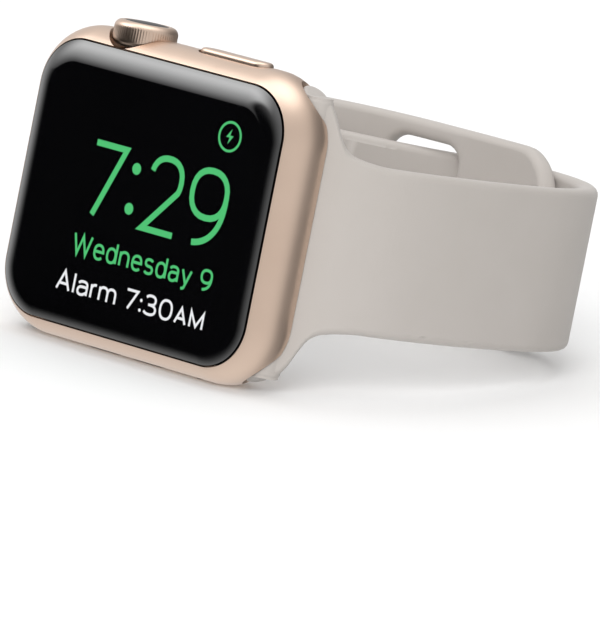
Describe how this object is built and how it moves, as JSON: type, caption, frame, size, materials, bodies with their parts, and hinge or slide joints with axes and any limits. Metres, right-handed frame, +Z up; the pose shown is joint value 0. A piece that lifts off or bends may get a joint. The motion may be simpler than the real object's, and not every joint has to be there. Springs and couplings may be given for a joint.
{
  "type": "smartwatch",
  "caption": "Smartwatch with a rounded rectangular aluminium case, curved-edge glass, a digital crown, a side button and a closed silicone band.",
  "frame": {"origin": "centre of the box round the whole watch, at its lowest level: the case side and the short strap rest on the floor there", "axes": "+X along the display towards the long strap, +Y from the display to the closure of the band, +Z up, towards the crown; the watch leans back by 6.53 degrees"},
  "size_m": [0.0512, 0.0598, 0.0347],
  "materials": {
    "gold_aluminium": "satin anodised",
    "cover_glass": "polished",
    "display_panel": "glossy",
    "black_rubber": "matte",
    "back_ceramic": "satin",
    "back_crystal": "polished",
    "sensor_lens": "polished",
    "stone_silicone": "matte",
    "steel": "brushed",
    "brass": "turned",
    "copper": "wound wire, brass stands for copper",
    "battery_wrap": "black wrapped pouch",
    "black_resin": "moulded",
    "amber_flex": "flexible circuit",
    "circuit_board": "coated",
    "crown_cap": "glossy"
  },
  "bodies": {
    "case": {"case_shell": "gold_aluminium", "cover_glass": "cover_glass", "force_gasket": "black_rubber", "display_panel": "display_panel", "display_flex": "amber_flex", "battery": "battery_wrap", "haptic_engine": "steel", "logic_module": "black_resin", "speaker_module": "black_resin", "microphone": "steel", "chassis_plate": "steel", "chassis_screw_1": "steel", "chassis_screw_2": "steel", "chassis_screw_3": "steel", "chassis_screw_4": "steel", "back_gasket": "black_rubber", "back_cover": "back_ceramic", "back_crystal": "back_crystal", "sensor_lens_1": "sensor_lens", "sensor_lens_2": "sensor_lens", "sensor_lens_3": "sensor_lens", "sensor_lens_4": "sensor_lens", "sensor_board": "circuit_board", "charging_coil": "copper", "alignment_magnet": "steel", "crown_bearing": "brass", "crown_seal": "black_rubber", "crown_bracket": "steel", "crown_encoder": "black_resin", "crown_switch": "black_resin", "side_button_switch": "black_resin", "side_button_bracket": "steel"},
    "crown_carrier": {"crown_thrust_plate": "steel"},
    "crown": {"crown_head": "gold_aluminium", "crown_cap": "crown_cap", "crown_shaft": "steel"},
    "side_button": {"side_button": "gold_aluminium"},
    "release_long": {"release_button_long_side": "gold_aluminium"},
    "release_short": {"release_button_short_side": "gold_aluminium"},
    "band_long": {"long_strap": "stone_silicone"},
    "band_short": {"short_strap": "stone_silicone", "closure_pin": "steel"},
    "latch_long": {"long_strap_latch": "steel"},
    "latch_short": {"short_strap_latch": "steel"}
  },
  "joints": [
    {"name": "crown_push", "type": "slide", "parent": "case", "child": "crown_carrier", "axis": [0, -0.1137, -0.9935], "range_m": [0, 0.00025], "stiffness_N_per_m": 400, "springref_m": -0.001},
    {"name": "crown_spin", "type": "hinge", "parent": "crown_carrier", "child": "crown", "pos_m": [-0.00739, -0.02218, 0.03167], "axis": [0, 0.1137, 0.9935], "continuous": true},
    {"name": "side_button_push", "type": "slide", "parent": "case", "child": "side_button", "axis": [0, -0.1137, -0.9935], "range_m": [0, 0.0003], "stiffness_N_per_m": 400, "springref_m": -0.001},
    {"name": "release_long_push", "type": "slide", "parent": "case", "child": "release_long", "axis": [0, -0.9935, 0.1137], "range_m": [0, 0.0005], "stiffness_N_per_m": 300, "springref_m": -0.001},
    {"name": "release_short_push", "type": "slide", "parent": "case", "child": "release_short", "axis": [0, -0.9935, 0.1137], "range_m": [0, 0.0005], "stiffness_N_per_m": 300, "springref_m": -0.001},
    {"name": "short_strap_slide", "type": "slide", "parent": "case", "child": "band_short", "axis": [0, 0.1137, 0.9935], "range_m": [-0.032, 0.032]},
    {"name": "long_strap_slide", "type": "slide", "parent": "case", "child": "band_long", "axis": [0, 0.1137, 0.9935], "range_m": [-0.032, 0.032]},
    {"name": "latch_long_push", "type": "slide", "parent": "band_long", "child": "latch_long", "axis": [0, -0.9935, 0.1137], "range_m": [0, 0.0005]},
    {"name": "latch_short_push", "type": "slide", "parent": "band_short", "child": "latch_short", "axis": [0, -0.9935, 0.1137], "range_m": [0, 0.0005]}
  ],
  "couplings": [
    {"joint": "long_strap_slide", "follows": "short_strap_slide", "ratio": 1},
    {"joint": "latch_long_push", "follows": "release_long_push", "ratio": 1},
    {"joint": "latch_short_push", "follows": "release_short_push", "ratio": 1}
  ]
}
